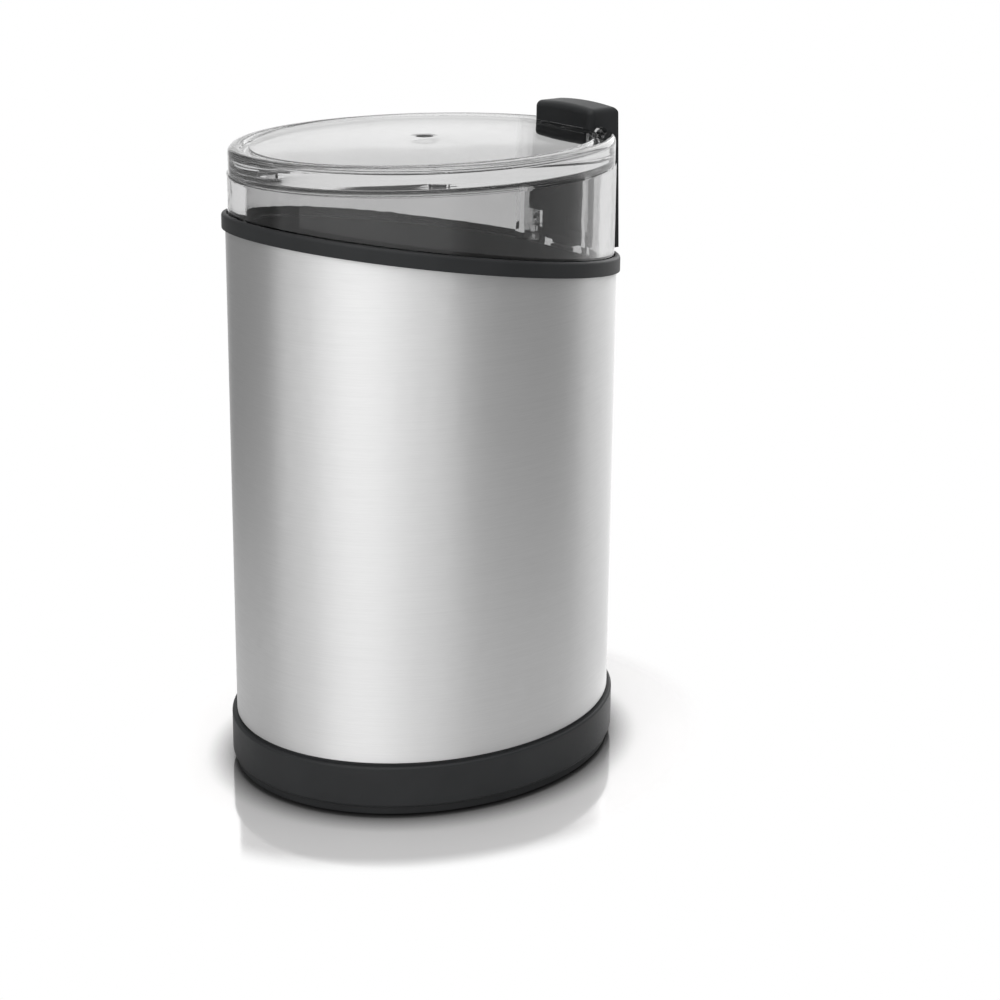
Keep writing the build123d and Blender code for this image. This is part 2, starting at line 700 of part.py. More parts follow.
def lid_shell():
    spare = rim_slope * reach
    rim = oval_tube(lid_rim_out, lid_rim_in, lid_shoulder - OVERRUN, lid_top)
    rim = fillet(upper_edges(rim), LID_ROUND)
    shell = oval_prism(lid_out, ledge - spare, lid_shoulder) + rim
    shell += oval_prism(lid_rim_in + OVERRUN, lid_shoulder - OVERRUN, groove_floor)
    panel = oval_prism(panel_out, lid_shoulder, lid_top + OVERRUN) & panel_sphere(0)
    panel = fillet(longest(panel.faces().sort_by(Axis.Z)[-1].edges()), PANEL_ROUND)
    shell = above(shell + panel, ledge + SLIDE_GAP / 2)
    hollow = oval_prism(lid_in, ledge - spare - OVERRUN, lid_top) & panel_sphere(PANEL_THICKNESS)
    ceiling = hollow.faces().sort_by(Axis.Z)[-1]
    hollow = fillet(longest(ceiling.edges()), PANEL_CORNER)
    walls = block(partition_front, reach, -partition_half, partition_half, 0, lid_top)
    well = block(well_front, reach, -well_half, well_half, 0, button_top)
    bar = block(bar_front, bar_back, -well_half, well_half, bar_bottom, bar_top)
    dish_radius = cap_radius(DISH_RADIUS, DISH_DEPTH)
    dish = Pos(0, 0, panel_peak - DISH_DEPTH + dish_radius) * Sphere(dish_radius)
    dimple = rod(DIMPLE_RADIUS, panel_peak - DISH_DEPTH - DIMPLE_DEPTH, button_top)
    return shell - (hollow - walls) - well - dish - dimple + bar


def start_button():
    flare = half_length + TONGUE_FLARE
    brow = half_length + TONGUE_PROUD
    outline = [(button_front, tongue_bottom), (button_front, button_top), (brow, button_top),
               (flare, tongue_bottom)]
    body = extrude(Plane.XZ * make_face(Polyline(outline, close=True)), button_half, both=True)
    crown = cap_radius(button_half, BUTTON_CROWN)
    body &= rod_along_x(crown, 0, reach, 0, button_top - crown)
    body = fillet(body.edges().filter_by(Axis.Z), BUTTON_EDGE_ROUND)
    body = fillet(body.faces().sort_by(Axis.Z)[-1].edges(), BUTTON_ROUND)
    inside = button_front + BUTTON_WALL
    side = button_half - BUTTON_WALL
    body -= block(inside, tongue_in, -side, side, 0, button_ceiling)
    for y_low, y_high in ((-reach, -LEG_WIDTH / 2), (LEG_WIDTH / 2, reach)):
        body -= block(0, tongue_in, y_low, y_high, 0, button_skirt)
    body -= block(0, tongue_in, -reach, reach, 0, tongue_bottom + LEG_RISE)
    lug_in = pushrod_in + LUG_SETBACK
    lug_half = LUG_WIDTH / 2
    return body + block(lug_in, half_length, -lug_half, lug_half, tongue_bottom, tongue_bottom + LUG_HEIGHT)


def button_spring():
    low = bar_top + RUNNING_GAP
    length = button_ceiling - RUNNING_GAP - low
    spring = coil_spring(button_spring_radius, BUTTON_SPRING_WIRE, BUTTON_SPRING_TURNS, length,
                         "button spring")
    return Pos(spring_x, 0, low) * spring


def switch_pushrod():
    half = PUSHROD_WIDTH / 2
    strip = block(pushrod_in, pushrod_out, -half, half, foot_bottom, pushrod_top)
    pad = PUSHROD_SPRING_RADIUS + PUSHROD_SPRING_WIRE / 2
    foot = block(switch_x - pad, pushrod_out, -half, half, foot_bottom, foot_top)
    foot += block(switch_x - pad, switch_x + pad, 0, stem_y + pad, foot_bottom, foot_top)
    return strip + foot + rod(STEM_RADIUS, stem_bottom, foot_top, switch_x, stem_y)


def pushrod_spring():
    low = cup_floor + RUNNING_GAP
    length = foot_bottom - RUNNING_GAP - low
    spring = coil_spring(PUSHROD_SPRING_RADIUS, PUSHROD_SPRING_WIRE, PUSHROD_SPRING_TURNS, length,
                         "pushrod spring")
    return Pos(switch_x, stem_y, low) * spring


def switch_body():
    half = SWITCH_LENGTH / 2
    body = block(switch_in, switch_out, -half, half, switch_bottom, switch_top)
    ear_half = BARREL_RADIUS + PIVOT_INSET / 2
    for low, high in ((switch_in, switch_in + EAR_THICKNESS), (switch_out - EAR_THICKNESS, switch_out)):
        body += block(low, high, -half, pivot_y + ear_half, switch_top, pivot_z + EAR_RISE)
    body -= rod_along_x(PIN_RADIUS + PIN_GAP, switch_in - OVERRUN, switch_out + OVERRUN, pivot_y, pivot_z)
    hole_bottom = switch_top - PLUNGER_SINK - plunger_travel - SLIDE_GAP
    body -= rod(PLUNGER_RADIUS + RUNNING_GAP, hole_bottom, switch_top + OVERRUN, switch_x, plunger_y)
    return body - switch_screw_holes()


def switch_lever():
    width = SWITCH_WIDTH - 2 * EAR_THICKNESS - 2 * SLIDE_GAP
    half = LEVER_THICKNESS / 2
    leaf = block(-width / 2, width / 2, 0, LEVER_REACH + LEVER_TAIL, -half, half)
    barrel = rod_along_x(BARREL_RADIUS, -width / 2, width / 2, 0, 0)
    lever = leaf + barrel - rod_along_x(PIN_RADIUS + PIN_GAP, -reach, reach, 0, 0)
    return Pos(switch_x, pivot_y, pivot_z) * Rot(LEVER_REST_ANGLE, 0, 0) * lever


def lever_pin():
    return rod_along_x(PIN_RADIUS, switch_in, switch_out, pivot_y, pivot_z)


def switch_plunger():
    return rod(PLUNGER_RADIUS, switch_top - PLUNGER_SINK, plunger_top, switch_x, plunger_y)


def switch_terminals():
    tab = block(switch_x - TAB_THICKNESS / 2, switch_x + TAB_THICKNESS / 2, -TAB_WIDTH / 2, TAB_WIDTH / 2,
                switch_bottom - TAB_LENGTH, switch_bottom)
    return Part() + [Pos(0, side * TAB_PITCH, 0) * tab for side in (-1, 0, 1)]


def switch_screws():
    screws = []
    for y, z in switch_screw_places():
        head = rod_along_x(SWITCH_HEAD_RADIUS, switch_in - SWITCH_HEAD_HEIGHT, switch_in, y, z)
        shank = rod_along_x(SWITCH_SCREW_RADIUS, switch_in, switch_in + SWITCH_SCREW_LENGTH, y, z)
        screws.append(head + shank)
    return Part() + screws


def motor_plate(low, high):
    """Plate of a motor bracket, with its windows."""
    window = RectangleRounded(BRACKET_WINDOW_LENGTH, BRACKET_WINDOW_WIDTH, BRACKET_WINDOW_LENGTH / 3)
    place = (HUB_RADIUS + STATOR_LENGTH / 2) / 2
    outline = RectangleRounded(STATOR_LENGTH, STATOR_WIDTH, STATOR_ROUND)
    outline -= [Pos(side * place, 0) * window for side in (-1, 1)]
    return Pos(0, 0, low) * extrude(outline, high - low)


def bolt_holes(low, high):
    hole = rod(BOLT_RADIUS + SEAT_GAP, low - OVERRUN, high + OVERRUN)
    return on_corners(hole, bolt_x, bolt_y)


def pillars(low, high):
    return on_corners(rod(PILLAR_RADIUS, low, high), bolt_x, bolt_y)


def upper_bracket():
    body = motor_plate(upper_bracket_bottom, upper_bracket_top)
    body += pillars(stator_top, upper_bracket_top)
    body += rod(HUB_RADIUS, upper_bracket_bottom, upper_hub_top)
    body -= rod(BEARING_RADIUS + SEAT_GAP, upper_bracket_bottom - OVERRUN, upper_hub_top + OVERRUN)
    body -= bolt_holes(stator_top, upper_bracket_top)
    screw = rod(DECK_SCREW_RADIUS + SEAT_GAP, upper_bracket_bottom - OVERRUN, upper_bracket_top + OVERRUN)
    return body - on_corners(screw, deck_screw_x, deck_screw_y)


def lower_bracket():
    body = motor_plate(lower_bracket_bottom, lower_bracket_top)
    body += pillars(lower_bracket_top, stator_bottom)
    body += rod(HUB_RADIUS, lower_hub_bottom, lower_bracket_top)
    half = BRUSH_WIDTH / 2 + HOLDER_WALL
    holder_low = brush_z - BRUSH_HEIGHT / 2 - HOLDER_WALL
    edge = min(STATOR_WIDTH / 2, holder_end)
    body += both_sides(block(-half, half, holder_start, edge, lower_bracket_bottom, holder_low))
    body -= rod(BEARING_RADIUS + SEAT_GAP, lower_hub_bottom - OVERRUN, lower_bracket_top + OVERRUN)
    return body - bolt_holes(lower_bracket_bottom, stator_bottom)


def upper_bearing():
    return tube(BEARING_RADIUS, SHAFT_RADIUS + RUNNING_GAP, upper_bracket_bottom, upper_hub_top)


def lower_bearing():
    return tube(BEARING_RADIUS, SHAFT_RADIUS + RUNNING_GAP, lower_hub_bottom, lower_bracket_top)


def motor_bolts():
    head = rod(BOLT_HEAD_RADIUS, lower_bracket_bottom - BOLT_HEAD_HEIGHT, lower_bracket_bottom)
    bolt = head + rod(BOLT_RADIUS, lower_bracket_bottom, upper_bracket_top)
    return on_corners(bolt, bolt_x, bolt_y)


def motor_dampers():
    damper = tube(DAMPER_RADIUS, DECK_SCREW_RADIUS + SEAT_GAP, upper_bracket_top, deck_bottom)
    return on_corners(damper, deck_screw_x, deck_screw_y)


def deck_screws():
    screw = rod(DECK_SCREW_RADIUS, upper_bracket_bottom, deck_top)
    screw += rod(DECK_HEAD_RADIUS, deck_top, deck_top + DECK_HEAD_HEIGHT)
    return on_corners(screw, deck_screw_x, deck_screw_y)


def stator_core():
    window = RectangleRounded(STATOR_LENGTH - 2 * YOKE, STATOR_WIDTH - 2 * YOKE, WINDOW_ROUND)
    spread = shoe_radius * math.tan(math.radians(SHOE_HALF_ANGLE))
    bow_tie = [(0, 0), (shoe_radius, spread), (shoe_radius, -spread)]
    wedge = make_face(Polyline(bow_tie, close=True))
    shoes = Circle(shoe_radius) & (wedge + Rot(0, 0, 180) * wedge)
    plan = RectangleRounded(STATOR_LENGTH, STATOR_WIDTH, STATOR_ROUND) - window
    plan += Rectangle(STATOR_LENGTH - YOKE, pole_width)
    plan = plan + shoes - Circle(bore_radius)
    return Pos(0, 0, stator_bottom) * extrude(plan, STATOR_HEIGHT) - bolt_holes(stator_bottom, stator_top)


def field_coils():
    width = pole_width + 2 * COIL_GAP
    height = STATOR_HEIGHT + 2 * COIL_GAP
    section = RectangleRounded(width + 2 * COIL_BUILD, height + 2 * COIL_BUILD, COIL_ROUND)
    section -= Rectangle(width, height)
    coil = extrude(Plane.YZ.offset(coil_in) * section, coil_out - coil_in)
    return both_sides(Pos(0, 0, stator_middle) * coil)


def brush_holders():
    half_x = BRUSH_WIDTH / 2 + RUNNING_GAP
    half_z = BRUSH_HEIGHT / 2 + RUNNING_GAP
    outer_x = BRUSH_WIDTH / 2 + HOLDER_WALL
    outer_z = BRUSH_HEIGHT / 2 + HOLDER_WALL
    holder = block(-outer_x, outer_x, holder_start, holder_end, brush_z - outer_z, brush_z + outer_z)
    holder -= block(-half_x, half_x, 0, reach, brush_z - half_z, brush_z + half_z)
    return both_sides(holder)


def carbon_brushes():
    half = BRUSH_HEIGHT / 2
    brush = block(-BRUSH_WIDTH / 2, BRUSH_WIDTH / 2, 0, brush_end, brush_z - half, brush_z + half)
    brush -= rod(brush_start, brush_z - BRUSH_HEIGHT, brush_z + BRUSH_HEIGHT)
    return both_sides(brush)


def brush_springs():
    low = brush_end + RUNNING_GAP
    length = cap_face - RUNNING_GAP - low
    spring = coil_spring(BRUSH_SPRING_RADIUS, BRUSH_SPRING_WIRE, BRUSH_SPRING_TURNS, length, "brush spring")
    return both_sides(Pos(0, low, brush_z) * Rot(-90, 0, 0) * spring)


def brush_caps():
    half_x = BRUSH_WIDTH / 2
    half_z = BRUSH_HEIGHT / 2
    cap = block(-half_x, half_x, cap_face, holder_end, brush_z - half_z, brush_z + half_z)
    outer_x = half_x + HOLDER_WALL
    outer_z = half_z + HOLDER_WALL
    cap_end = holder_end + CAP_THICKNESS
    cap += block(-outer_x, outer_x, holder_end, cap_end, brush_z - outer_z, brush_z + outer_z)
    return both_sides(cap)


def drive_shaft():
    shaft = rod(SHAFT_RADIUS, shaft_bottom, nut_top)
    return shaft + rod(SHOULDER_RADIUS, bowl_hub_top + SHOULDER_GAP, blade_bottom)


def thrust_washer():
    middle = (lower_bracket_top + commutator_bottom) / 2
    half = WASHER_THICKNESS / 2
    return tube(WASHER_RADIUS, SHAFT_RADIUS + SEAT_GAP, middle - half, middle + half)


def slot_bar(gap):
    """Section of one winding slot of the armature, or of the wire in it."""
    outer = ARMATURE_RADIUS - TOOTH_TIP
    return Pos(outer - SLOT_DEPTH / 2, 0) * Rectangle(SLOT_DEPTH - 2 * gap, SLOT_WIDTH - 2 * gap)


def armature_core():
    slot = slot_bar(0) + Pos(ARMATURE_RADIUS, 0) * Rectangle(2 * TOOTH_TIP + 2 * SEAT_GAP, SLOT_MOUTH)
    cut = Pos(0, 0, stator_bottom - OVERRUN) * extrude(slot, STATOR_HEIGHT + 2 * OVERRUN)
    core = tube(ARMATURE_RADIUS, SHAFT_RADIUS + SEAT_GAP, stator_bottom, stator_top)
    return core - around(cut, SLOT_COUNT)


def armature_winding():
    bars = Pos(0, 0, stator_bottom - SEAT_GAP) * extrude(slot_bar(SEAT_GAP), STATOR_HEIGHT + 2 * SEAT_GAP)
    inner = SHAFT_RADIUS + SEAT_GAP
    top = rod(WINDING_RADIUS, stator_top, stator_top + WINDING_OVERHANG)
    top = fillet(top.edges().group_by(Axis.Z)[-1], WINDING_ROUND)
    ends = top + rod(WINDING_RADIUS, commutator_top, stator_bottom)
    bore = rod(inner, commutator_bottom, upper_bracket_top)
    return ends - bore + around(bars, SLOT_COUNT)


def commutator():
    body = tube(COMMUTATOR_RADIUS, SHAFT_RADIUS + SEAT_GAP, commutator_bottom, commutator_top)
    slit = block(COMMUTATOR_RADIUS - SEGMENT_DEPTH, COMMUTATOR_RADIUS + OVERRUN, -SEGMENT_GAP / 2,
                 SEGMENT_GAP / 2, commutator_bottom - OVERRUN, commutator_top + OVERRUN)
    return body - around(slit, SLOT_COUNT)


def blade():
    half = BLADE_WIDTH / 2
    wing_length = BLADE_RADIUS - BLADE_FLAT
    middle = rod(half, 0, BLADE_THICKNESS)
    middle += block(-BLADE_FLAT, BLADE_FLAT, -half, half, 0, BLADE_THICKNESS)
    wing = block(-BLADE_THICKNESS / 2, wing_length, -half, half, 0, BLADE_THICKNESS)
    tip = wing.edges().filter_by(Axis.Z).group_by(Axis.X)[-1]
    wing = fillet(tip, half / 2)
    lead = wing.edges().filter_by(Axis.X).group_by(Axis.Y)[0].sort_by(Axis.Z)[-1]
    wing = chamfer(lead, BLADE_EDGE)
    wing = Pos(BLADE_FLAT, 0, 0) * Rot(0, -BLADE_BEND, 0) * wing
    body = middle + both_sides(wing) - rod(SHAFT_RADIUS + SEAT_GAP, -OVERRUN, reach)
    return Pos(0, 0, blade_bottom) * body


def blade_nut():
    hexagon = RegularPolygon(NUT_WIDTH / 2, 6, major_radius=False)
    nut = Pos(0, 0, blade_top) * extrude(hexagon, NUT_HEIGHT)
    dome_radius = NUT_WIDTH / 2
    ball = (dome_radius ** 2 + NUT_DOME ** 2) / (2 * NUT_DOME)
    dome = Pos(0, 0, nut_top + NUT_DOME - ball) * Sphere(ball)
    nut += rod(dome_radius, nut_top, nut_top + NUT_DOME) & dome
    return nut - rod(SHAFT_RADIUS + SEAT_GAP, blade_top - OVERRUN, nut_top + SEAT_GAP)


def lead(points):
    """Insulated lead along straight runs joined by arcs."""
    runs = [b - a for a, b in zip(points, points[1:])]
    radii = []
    for first, second in zip(runs, runs[1:]):
        half_turn = math.radians(first.get_angle(second) / 2)
        radii.append(LEAD_BEND_SHARE * min(first.length, second.length) / math.tan(half_turn))
    path = FilletPolyline(*points, radius=radii)
    profile = Plane(path @ 0, z_dir=path % 0) * Circle(LEAD_RADIUS)
    wire = sweep(profile, path)
    ideal = math.pi * LEAD_RADIUS ** 2 * path.length
    bends = ", ".join(f"{radius:.1f}" for radius in radii)
    print(f"lead: {path.length:.1f} mm, bends {bends} mm, volume share {wire.volume / ideal:.4f}")
    return wire


def lead_wires():
    tab_end = switch_bottom - TAB_LENGTH
    diagonal = math.atan2(bolt_y, bolt_x)
    pillar_out = math.hypot(bolt_x, bolt_y) + PILLAR_RADIUS
    corner = pillar_out + LEAD_CORNER_SHARE * (wall_along(diagonal) - pillar_out)
    corner_x = corner * math.cos(diagonal)
    corner_y = corner * math.sin(diagonal)
    dip = base_flange_top + TERMINAL_HEIGHT - TERMINAL_SCREW_DEPTH
    side = TERMINAL_PITCH / 2
    cap_out = holder_end + CAP_THICKNESS
    loop_y = cap_out + LEAD_LOOP
    to_mains = [(switch_x, TAB_PITCH, tab_end), (switch_x, TAB_PITCH, brush_z),
                (corner_x, corner_y, brush_z), (side, terminal_y, brush_z), (side, terminal_y, dip)]
    to_brush = [(switch_x, -TAB_PITCH, tab_end), (switch_x, -TAB_PITCH, brush_z),
                (corner_x, -corner_y, brush_z), (LEAD_LOOP, -loop_y, brush_z), (0, -loop_y, brush_z),
                (0, -cap_out, brush_z)]
    to_motor = [(-side, terminal_y, dip), (-side, terminal_y, brush_z), (-side, cap_out, brush_z)]
    return Part() + [lead([Vector(*point) for point in route]) for route in (to_mains, to_brush, to_motor)]


PIECES = [
    outer_sleeve, rim_collar, chassis, base_ring, bottom_cover, rubber_feet, cover_screws, cord_gland,
    terminal_block, grinding_bowl, bowl_gasket, shaft_seal, lid_shell, start_button, button_spring,
    switch_pushrod, pushrod_spring, switch_body, switch_lever, lever_pin, switch_plunger, switch_terminals,
    switch_screws, upper_bracket, lower_bracket, upper_bearing, lower_bearing, motor_bolts, motor_dampers,
    deck_screws, stator_core, field_coils, brush_holders, carbon_brushes, brush_springs, brush_caps,
    drive_shaft, thrust_washer, armature_core, armature_winding, commutator, blade, blade_nut, lead_wires,
]

os.makedirs("parts", exist_ok=True)
for piece in PIECES:
    export_step(piece(), f"parts/{piece.__name__}.step")
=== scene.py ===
"""Looks of an oval electric coffee grinder: brushed steel sleeve, black rim and base, clear lid.

Metres, in the frame of the solids: +X to the button, -Y is the broad front, +Z is up.
"""
import bpy
import math
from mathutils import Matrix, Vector


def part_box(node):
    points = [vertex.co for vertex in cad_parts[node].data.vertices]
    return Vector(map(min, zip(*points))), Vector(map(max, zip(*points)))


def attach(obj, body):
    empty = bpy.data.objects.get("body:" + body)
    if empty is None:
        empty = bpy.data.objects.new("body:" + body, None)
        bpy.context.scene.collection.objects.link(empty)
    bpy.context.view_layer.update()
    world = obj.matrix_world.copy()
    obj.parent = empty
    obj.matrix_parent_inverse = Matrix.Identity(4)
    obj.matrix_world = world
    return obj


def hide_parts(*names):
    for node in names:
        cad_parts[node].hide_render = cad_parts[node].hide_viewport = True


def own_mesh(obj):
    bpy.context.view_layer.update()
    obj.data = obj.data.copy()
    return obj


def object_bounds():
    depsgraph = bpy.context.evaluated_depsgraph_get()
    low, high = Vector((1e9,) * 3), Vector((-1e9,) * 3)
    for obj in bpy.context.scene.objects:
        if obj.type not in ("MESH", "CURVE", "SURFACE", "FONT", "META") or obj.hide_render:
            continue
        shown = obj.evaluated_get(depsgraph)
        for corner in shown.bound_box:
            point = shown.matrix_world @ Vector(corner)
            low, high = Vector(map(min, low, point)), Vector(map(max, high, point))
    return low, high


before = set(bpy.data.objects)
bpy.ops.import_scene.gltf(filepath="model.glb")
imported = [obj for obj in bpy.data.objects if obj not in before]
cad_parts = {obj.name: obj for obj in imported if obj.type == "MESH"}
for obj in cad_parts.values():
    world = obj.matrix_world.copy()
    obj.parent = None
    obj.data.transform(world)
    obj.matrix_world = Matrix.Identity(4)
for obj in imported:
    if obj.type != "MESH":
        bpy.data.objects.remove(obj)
cad_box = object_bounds()

# Camera, fitted to the photograph's outlines of the sleeve, the rim and the lid
CAMERA_AZIMUTH = 36.0
CAMERA_TILT = 15.48
CAMERA_DISTANCE = 0.5208
CAMERA_HEIGHT = 0.2430
FRAME_PIXELS = 1000
FOCAL_PIXELS = 2107.0
CENTRE_PIXEL = (424.4, 382.0)
SENSOR_WIDTH = 36.0
NEAREST_SEEN = 0.01

# Stage: the floor keeps its shadow and mirror image near the base, with painted contact shade darkening
# its colour close to the base, and fades to plain white further out; the fade is in base outlines, where 1
# is the outline of the base
FLOOR_RADIUS = 3.0
FLOOR_SIDES = 96
FLOOR_FADE = (1.41, 1.59)
FLOOR_MIRROR = 0.42
# Painted contact shade: within this reach of the base the floor's colour darkens towards a grey where
# ambient occlusion finds little open sky
CONTACT_SHADE_REACH = 0.012
CONTACT_SHADE_RANGE = (0.42, 0.88)
CONTACT_PAINTED_SHADE_COLOUR = "#505050"
WHITE = "#FFFFFF"
AMBIENT = 0.50
LIGHT_BOUNCES = 40

# Cards: the height of the upright ones, and where their soft edges end, just past the half width
CARD_HEIGHT = 0.73
CARD_END = 0.501

# Mark in the middle of the lid, painted shade that stands for the dark the dimple's wall bends into view:
# the bottom of its dimple under the lid's top, and the mark's form
MARK_DEPTH = 0.00082
MARK_RADIUS = 0.0025
MARK_CORE_SHARE = 0.9
MARK_PAINTED_SHADE_COLOUR = "#303030"
MARK_ROUGHNESS = 0.6

# Patterns: the span of a noise that is used, its detail, how far level bands waver, the spacing of
# a wave's bands at scale 1, and the share of the relief that shows in the shading
NOISE_SPAN = (0.3, 0.7)
NOISE_DETAIL = 3.0
BAND_WAVER = 0.6
WAVE_SPACING = math.pi / 10
RELIEF = 0.5
MM_PER_METRE = 1000


def linear(code):
    """Linear colour with alpha from an sRGB hex code."""
    parts = [int(code[i:i + 2], 16) / 255 for i in (1, 3, 5)]
    return tuple(p / 12.92 if p <= 0.04045 else ((p + 0.055) / 1.055) ** 2.4 for p in parts) + (1.0,)


def add(tree, kind, inputs=None, **settings):
    """Adds a node: settings are its properties, inputs are values or sockets that are linked in."""
    node = tree.nodes.new(kind)
    for name, value in settings.items():
        setattr(node, name, value)
    for name, value in (inputs or {}).items():
        if isinstance(value, bpy.types.NodeSocket):
            tree.links.new(value, node.inputs[name])
        else:
            node.inputs[name].default_value = value
    return node


def surface(name, colours, rough, grain_mm, cloud_mm=None, relief_mm=0.0, bands_mm=None, **constants):
    """Material whose colour drifts with a cloud and whose gloss and relief follow a grain.

    Sizes are in millimetres along X, Y and Z, bands_mm is the height of level bands that take
    the grain's place, and constants are set on the shader's own sockets.
    """
    material = bpy.data.materials.new(name)
    material.use_nodes = True
    tree = material.node_tree
    tree.nodes.clear()
    place = add(tree, "ShaderNodeTexCoord").outputs["Object"]
    patterns = []
    for size in (cloud_mm or grain_mm, grain_mm):
        scale = tuple(MM_PER_METRE / s for s in size)
        drawn = add(tree, "ShaderNodeMapping", {"Vector": place, "Scale": scale}).outputs["Vector"]
        noise = add(tree, "ShaderNodeTexNoise", {"Vector": drawn, "Scale": 1.0, "Detail": NOISE_DETAIL})
        patterns.append(noise.outputs["Fac"])
    if bands_mm:
        scale = WAVE_SPACING * MM_PER_METRE / bands_mm
        bands = add(tree, "ShaderNodeTexWave", {
            "Vector": place, "Scale": scale, "Distortion": BAND_WAVER}, bands_direction="Z")
        patterns = [bands.outputs["Fac"]] * 2
    low, high = NOISE_SPAN
    drift = add(tree, "ShaderNodeMapRange", {"Value": patterns[0], "From Min": low, "From Max": high})
    colour = add(tree, "ShaderNodeMix", {
        0: drift.outputs[0], 6: linear(colours[0]), 7: linear(colours[1])}, data_type="RGBA")
    gloss = add(tree, "ShaderNodeMapRange", {
        "Value": patterns[1], "From Min": low, "From Max": high, "To Min": rough[0], "To Max": rough[1]})
    inputs = {key.replace("_", " "): value for key, value in constants.items()}
    inputs.update({"Base Color": colour.outputs[2], "Roughness": gloss.outputs[0]})
    if relief_mm:
        bump = add(tree, "ShaderNodeBump", {
            "Height": patterns[1], "Distance": relief_mm / MM_PER_METRE, "Strength": RELIEF})
        inputs["Normal"] = bump.outputs["Normal"]
    shader = add(tree, "ShaderNodeBsdfPrincipled", inputs)
    add(tree, "ShaderNodeOutputMaterial", {"Surface": shader.outputs["BSDF"]})
    return material, tree, shader


# Brushed stainless sheet: an abrasive belt leaves fine scratches round the body, which spread
# each reflection upright, so lamps show as tall soft bands. The real scratches are near 0.05 mm
# and are drawn as coarse as they need to be to show.
def brushed_sheet():
    material, tree, shader = surface(
        "brushed_stainless_sheet", ("#CACACA", "#CECECE"), (0.45, 0.53), (3.5, 3.5, 0.25),
        cloud_mm=(18, 18, 0.2), relief_mm=0.004, Metallic=1.0, Anisotropic=0.85,
        Anisotropic_Rotation=0.25)
    around = add(tree, "ShaderNodeTangent", direction_type="RADIAL", axis="Z")
    tree.links.new(around.outputs["Tangent"], shader.inputs["Tangent"])
    return material


# Clear SAN: glassy moulded plastic with polished faces and a trace of mould haze. The middle of the top
# carries a small dull dark grey mark on its outer side only, painted shade for the dark the dimple's wall
# bends into view.
def clear_san():
    material, tree, shader = surface(
        "clear_san", ("#D2D2D2", "#D6D6D6"), (0.01, 0.03), (9, 9, 9),
        cloud_mm=(20, 20, 20), IOR=1.52, Transmission_Weight=1.0)
    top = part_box("lid_shell")[1][2] - MARK_DEPTH
    place = add(tree, "ShaderNodeTexCoord").outputs["Object"]
    away = add(tree, "ShaderNodeVectorMath", {0: place, 1: (0, 0, top)}, operation="DISTANCE")
    painted_shade_mask = add(tree, "ShaderNodeMapRange", {
        "Value": away.outputs["Value"], "From Min": MARK_CORE_SHARE * MARK_RADIUS, "From Max": MARK_RADIUS,
        "To Min": 1.0, "To Max": 0.0}).outputs[0]
    inner_side = add(tree, "ShaderNodeNewGeometry").outputs["Backfacing"]
    painted_shade_mask = add(tree, "ShaderNodeMath", {0: painted_shade_mask, 1: inner_side},
               operation="SUBTRACT", use_clamp=True).outputs[0]
    # Paints the mark's dark grey shade into the lid's colour and dulls its gloss there
    for socket, dull in (("Base Color", linear(MARK_PAINTED_SHADE_COLOUR)), ("Roughness", (MARK_ROUGHNESS,) * 3 + (1,))):
        plain = shader.inputs[socket].links[0].from_socket
        mixed = add(tree, "ShaderNodeMix", {0: painted_shade_mask, 6: plain, 7: dull}, data_type="RGBA")
        tree.links.new(mixed.outputs[2], shader.inputs[socket])
    return material


def dress(material, *names):
    for name in names:
        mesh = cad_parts[name].data
        mesh.materials.clear()
        mesh.materials.append(material)


